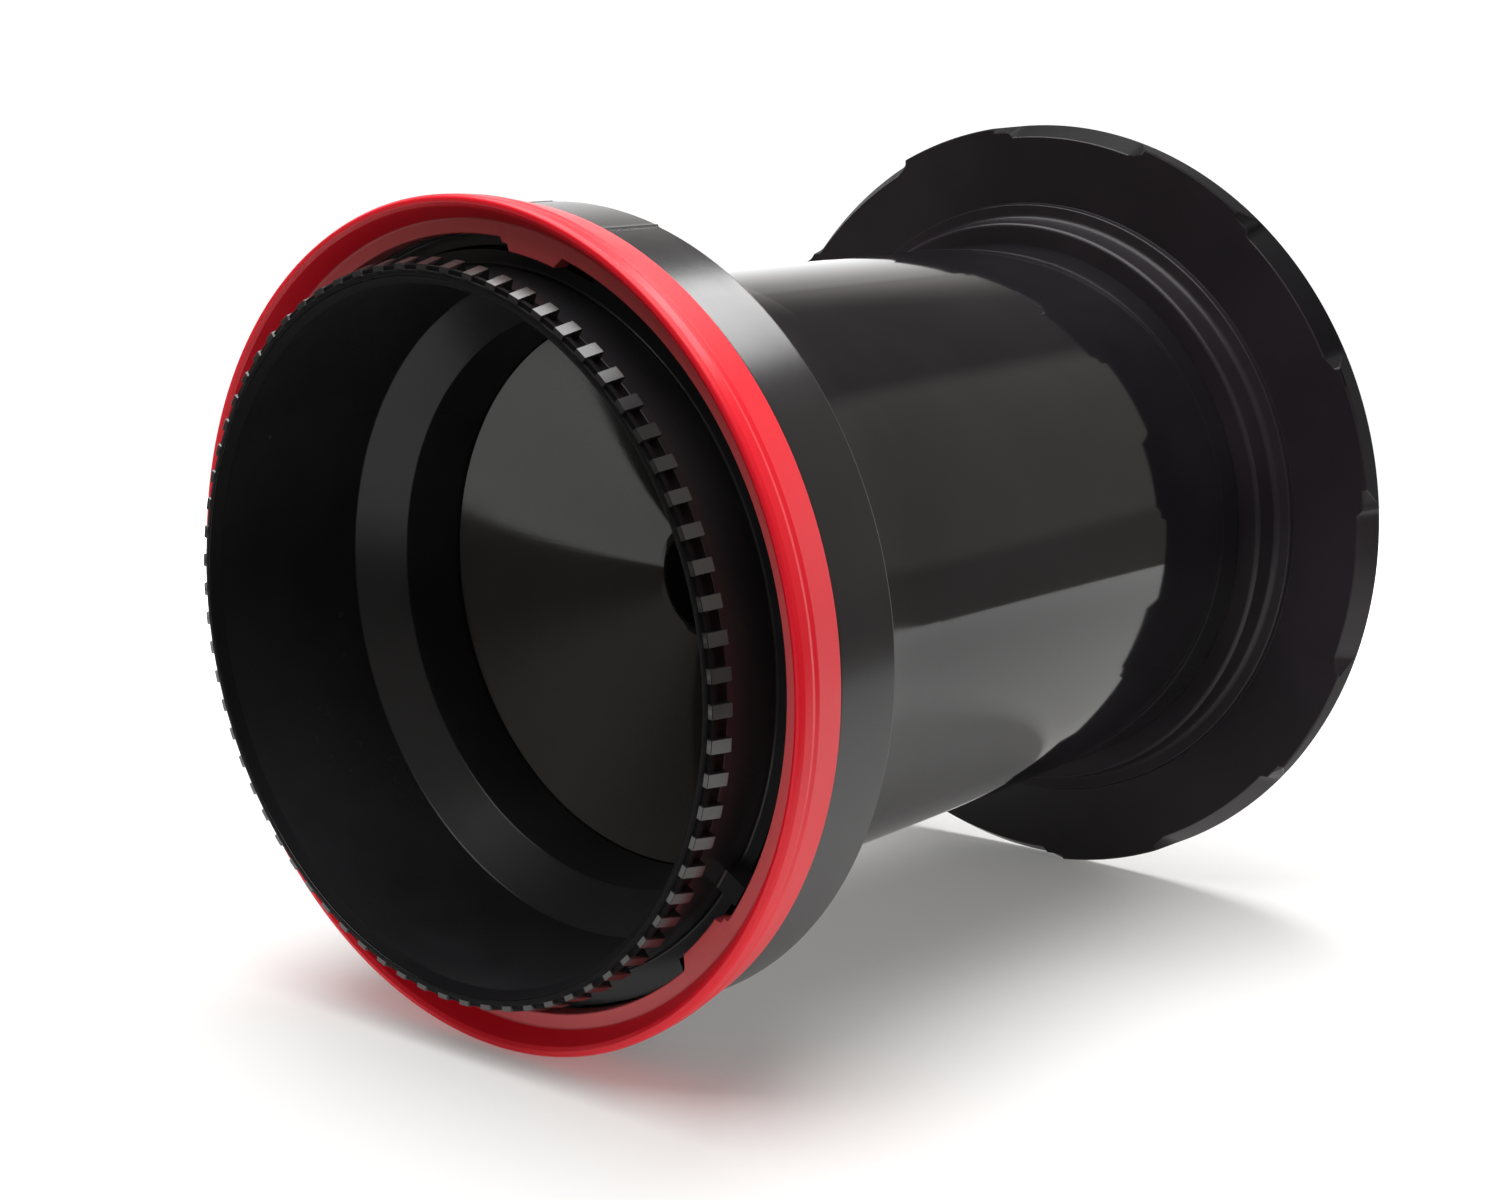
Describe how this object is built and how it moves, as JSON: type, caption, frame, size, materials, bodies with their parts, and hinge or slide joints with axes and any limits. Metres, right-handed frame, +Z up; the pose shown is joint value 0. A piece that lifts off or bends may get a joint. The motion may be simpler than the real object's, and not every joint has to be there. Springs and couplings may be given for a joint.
{
  "type": "film developing tank",
  "caption": "Cylindrical rotary film developing tank lying on its side, with toothed mouth, funnel lid, bayonet locking ring, reels on a column and flanged base.",
  "frame": {"origin": "under the middle of the tank's length, on the plane that touches the base disc's lowest point, with the tank on its side", "axes": "+Y along the tank's axis from the mouth to the base disc, +Z up, +X to the right when the mouth is seen from the front"},
  "size_m": [0.1604, 0.176, 0.1604],
  "materials": {
    "tank_black": "gloss",
    "base_black": "semi-gloss",
    "lid_black": "gloss",
    "cog_black": "satin",
    "funnel_black": "high gloss",
    "column_black": "satin",
    "ring_red": "semi-gloss",
    "clip_red": "semi-gloss",
    "reel_white": "satin",
    "seal_rubber": "matt",
    "ferrite": "ground"
  },
  "bodies": {
    "tank": {"tank_body": "tank_black", "base_disc": "base_black", "base_seal": "seal_rubber", "magnet_housing": "column_black", "drive_magnet": "ferrite", "magnet_cover": "column_black"},
    "ring": {"locking_ring": "ring_red"},
    "column": {"centre_column": "column_black"},
    "reel_2": {"reel_2_fixed_half": "reel_white"},
    "reel_2_turner": {"reel_2_turning_half": "reel_white"},
    "reel_2_stop": {"reel_2_film_stop": "clip_red"},
    "reel_1": {"reel_1_fixed_half": "reel_white"},
    "reel_1_turner": {"reel_1_turning_half": "reel_white"},
    "reel_1_stop": {"reel_1_film_stop": "clip_red"},
    "clip": {"reel_clip": "clip_red"},
    "lid": {"lid_cup": "lid_black", "cog_ring": "cog_black", "funnel": "funnel_black", "funnel_seal": "seal_rubber", "light_trap": "lid_black", "lid_gasket": "seal_rubber", "spout_seal": "seal_rubber"}
  },
  "joints": [
    {"name": "ring_turn", "type": "hinge", "parent": "tank", "child": "ring", "pos_m": [0, -0.074, 0.0802], "axis": [0, 1, 0], "range_deg": [0, 26]},
    {"name": "column_lift", "type": "slide", "parent": "tank", "child": "column", "axis": [0, -1, 0], "range_m": [0, 0.165]},
    {"name": "reel_2_lift", "type": "slide", "parent": "column", "child": "reel_2", "axis": [0, -1, 0], "range_m": [0, 0.095]},
    {"name": "reel_2_twist", "type": "hinge", "parent": "reel_2", "child": "reel_2_turner", "pos_m": [0, 0.0368, 0.0802], "axis": [0, 1, 0], "range_deg": [-14, 14]},
    {"name": "reel_2_stop_push", "type": "slide", "parent": "reel_2_turner", "child": "reel_2_stop", "axis": [0, 1, 0], "range_m": [0, 0.0024]},
    {"name": "reel_1_lift", "type": "slide", "parent": "reel_2", "child": "reel_1", "axis": [0, -1, 0], "range_m": [0, 0.056]},
    {"name": "reel_1_twist", "type": "hinge", "parent": "reel_1", "child": "reel_1_turner", "pos_m": [0, -0.003, 0.0802], "axis": [0, 1, 0], "range_deg": [-14, 14]},
    {"name": "reel_1_stop_push", "type": "slide", "parent": "reel_1_turner", "child": "reel_1_stop", "axis": [0, 1, 0], "range_m": [0, 0.0024]},
    {"name": "clip_lift", "type": "slide", "parent": "reel_1", "child": "clip", "axis": [0, -1, 0], "range_m": [0, 0.012]},
    {"name": "lid_lift", "type": "slide", "parent": "clip", "child": "lid", "axis": [0, -1, 0], "range_m": [0, 0.066]}
  ]
}
